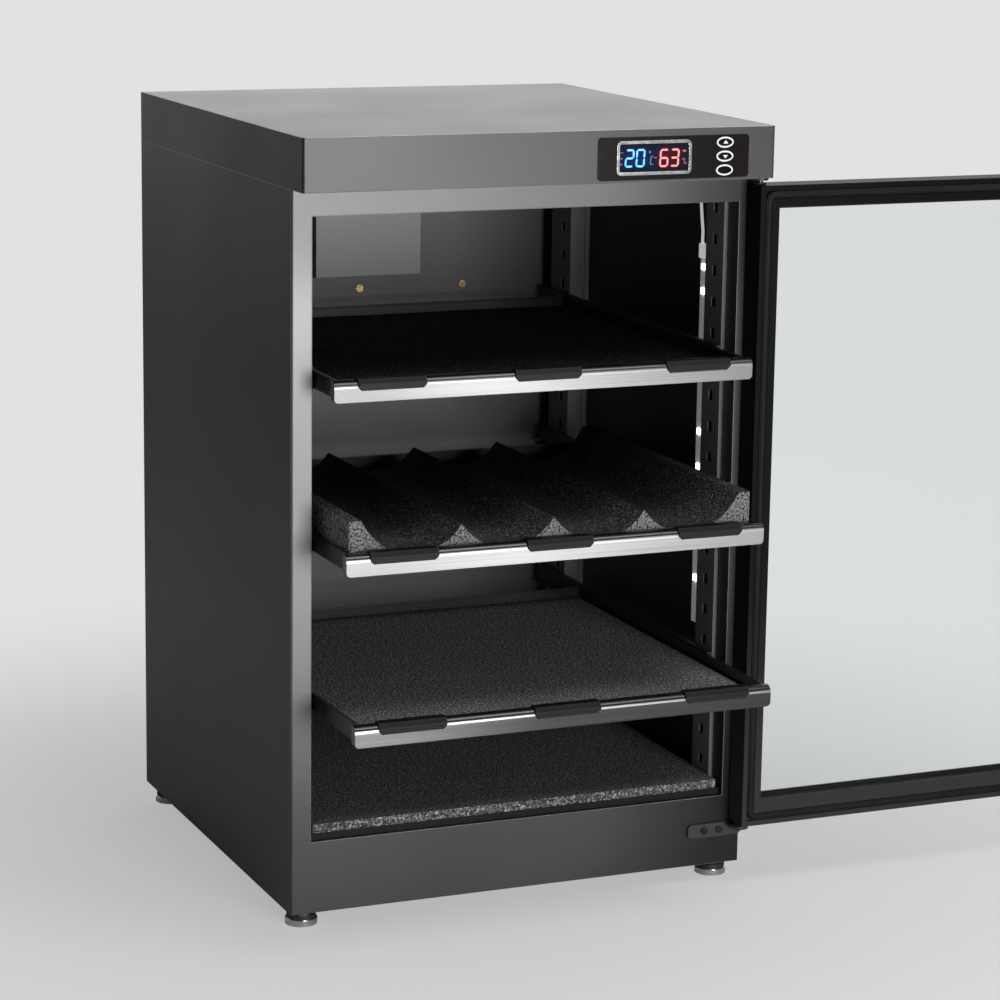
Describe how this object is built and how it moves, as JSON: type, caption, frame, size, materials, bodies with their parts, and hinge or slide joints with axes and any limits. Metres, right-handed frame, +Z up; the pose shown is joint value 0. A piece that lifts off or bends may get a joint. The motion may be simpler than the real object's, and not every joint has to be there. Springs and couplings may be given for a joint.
{
  "type": "camera dry cabinet",
  "caption": "Upright black steel storage cabinet with a glass door folded back, draw-out foam-lined shelves, inside lights and a humidity control panel.",
  "frame": {"origin": "on the floor, midway between the four feet", "axes": "+Z up, +X towards the hinge side, +Y towards the back, away from the door opening"},
  "size_m": [0.785, 0.5068, 0.636],
  "materials": {
    "case_paint": "satin",
    "inner_paint": "satin",
    "door_profile": "satin",
    "satin_metal": "satin",
    "bright_metal": "gloss",
    "screw_metal": "gloss",
    "brass": "gloss",
    "black_rubber": "matte",
    "foam": "matte",
    "pane_glass": "gloss",
    "panel_gloss": "gloss",
    "screen": "gloss",
    "white_plastic": "matte",
    "black_plastic": "matte",
    "board": "matte"
  },
  "bodies": {
    "cabinet": {"left_side_panel": "case_paint", "right_side_panel": "case_paint", "back_panel": "inner_paint", "base_panel": "inner_paint", "front_frame": "case_paint", "top_cap": "case_paint", "ceiling_panel": "inner_paint", "slotted_posts": "inner_paint", "module_cover": "inner_paint", "desiccant_pack": "white_plastic", "heater_plate": "satin_metal", "rear_cover": "case_paint", "power_inlet": "black_plastic", "panel_screws": "brass", "humidity_sensor": "white_plastic", "control_fascia": "panel_gloss", "display_bezel": "bright_metal", "display_window": "screen", "button_rings": "bright_metal", "control_board": "board", "led_strip": "white_plastic", "led_chips": "white_plastic", "led_lead": "white_plastic", "led_connector": "white_plastic", "floor_foam": "foam", "hinge_bracket_bottom": "case_paint", "hinge_bracket_top": "case_paint", "hinge_pins": "bright_metal", "hinge_screws": "screw_metal"},
    "vent_flap": {"vent_shutter": "inner_paint"},
    "up_key": {"button_up": "black_rubber"},
    "down_key": {"button_down": "black_rubber"},
    "set_key": {"button_set": "black_rubber"},
    "bushes": {"hinge_bushes": "satin_metal"},
    "door": {"door_stile_hinge": "door_profile", "door_stile_free": "door_profile", "door_rail_top": "door_profile", "door_rail_bottom": "door_profile", "door_glass": "pane_glass", "glazing_seal": "black_rubber", "door_gasket": "black_rubber"},
    "screwed_foot_front_left": {"foot_front_left": "bright_metal"},
    "screwed_foot_front_right": {"foot_front_right": "bright_metal"},
    "screwed_foot_rear_left": {"foot_rear_left": "bright_metal"},
    "screwed_foot_rear_right": {"foot_rear_right": "bright_metal"},
    "top_hangers": {"top_runners": "inner_paint"},
    "top_shelf": {"top_tray": "inner_paint", "top_bar": "satin_metal", "top_clips": "black_rubber", "top_foam": "foam"},
    "middle_hangers": {"middle_runners": "inner_paint"},
    "middle_shelf": {"middle_tray": "inner_paint", "middle_bar": "satin_metal", "middle_clips": "black_rubber", "middle_foam": "foam"},
    "bottom_hangers": {"bottom_runners": "inner_paint"},
    "bottom_shelf": {"bottom_tray": "inner_paint", "bottom_bar": "satin_metal", "bottom_clips": "black_rubber", "bottom_foam": "foam"}
  },
  "joints": [
    {"name": "door_first_quarter", "type": "hinge", "parent": "cabinet", "child": "bushes", "pos_m": [0.1935, -0.21, 0.05], "axis": [0, 0, 1], "range_deg": [-90, 0]},
    {"name": "door_second_quarter", "type": "hinge", "parent": "bushes", "child": "door", "pos_m": [0.1935, -0.21, 0.05], "axis": [0, 0, 1], "range_deg": [-90, 0]},
    {"name": "vent_flap_swing", "type": "hinge", "parent": "cabinet", "child": "vent_flap", "pos_m": [0, 0.1966, 0.543], "axis": [1, 0, 0], "range_deg": [0, 25]},
    {"name": "press_up", "type": "slide", "parent": "cabinet", "child": "up_key", "axis": [0, 1, 0], "range_m": [0, 0.001], "stiffness_N_per_m": 400},
    {"name": "press_down", "type": "slide", "parent": "cabinet", "child": "down_key", "axis": [0, 1, 0], "range_m": [0, 0.001], "stiffness_N_per_m": 400},
    {"name": "press_set", "type": "slide", "parent": "cabinet", "child": "set_key", "axis": [0, 1, 0], "range_m": [0, 0.001], "stiffness_N_per_m": 400},
    {"name": "turn_foot_front_left", "type": "hinge", "parent": "cabinet", "child": "screwed_foot_front_left", "pos_m": [-0.184, -0.176, 0], "axis": [0, 0, 1], "continuous": true},
    {"name": "turn_foot_front_right", "type": "hinge", "parent": "cabinet", "child": "screwed_foot_front_right", "pos_m": [0.184, -0.176, 0], "axis": [0, 0, 1], "continuous": true},
    {"name": "turn_foot_rear_left", "type": "hinge", "parent": "cabinet", "child": "screwed_foot_rear_left", "pos_m": [-0.184, 0.176, 0], "axis": [0, 0, 1], "continuous": true},
    {"name": "turn_foot_rear_right", "type": "hinge", "parent": "cabinet", "child": "screwed_foot_rear_right", "pos_m": [0.184, 0.176, 0], "axis": [0, 0, 1], "continuous": true},
    {"name": "top_shelf_height", "type": "slide", "parent": "cabinet", "child": "top_hangers", "axis": [0, 0, 1], "range_m": [-0.078, 0.078]},
    {"name": "top_shelf_draw", "type": "slide", "parent": "top_hangers", "child": "top_shelf", "axis": [0, -1, 0], "range_m": [-0.043, 0.157]},
    {"name": "middle_shelf_height", "type": "slide", "parent": "cabinet", "child": "middle_hangers", "axis": [0, 0, 1], "range_m": [-0.078, 0.078]},
    {"name": "middle_shelf_draw", "type": "slide", "parent": "middle_hangers", "child": "middle_shelf", "axis": [0, -1, 0], "range_m": [-0.0715, 0.1285]},
    {"name": "bottom_shelf_height", "type": "slide", "parent": "cabinet", "child": "bottom_hangers", "axis": [0, 0, 1], "range_m": [-0.078, 0.078]},
    {"name": "bottom_shelf_draw", "type": "slide", "parent": "bottom_hangers", "child": "bottom_shelf", "axis": [0, -1, 0], "range_m": [-0.092, 0.108]}
  ]
}
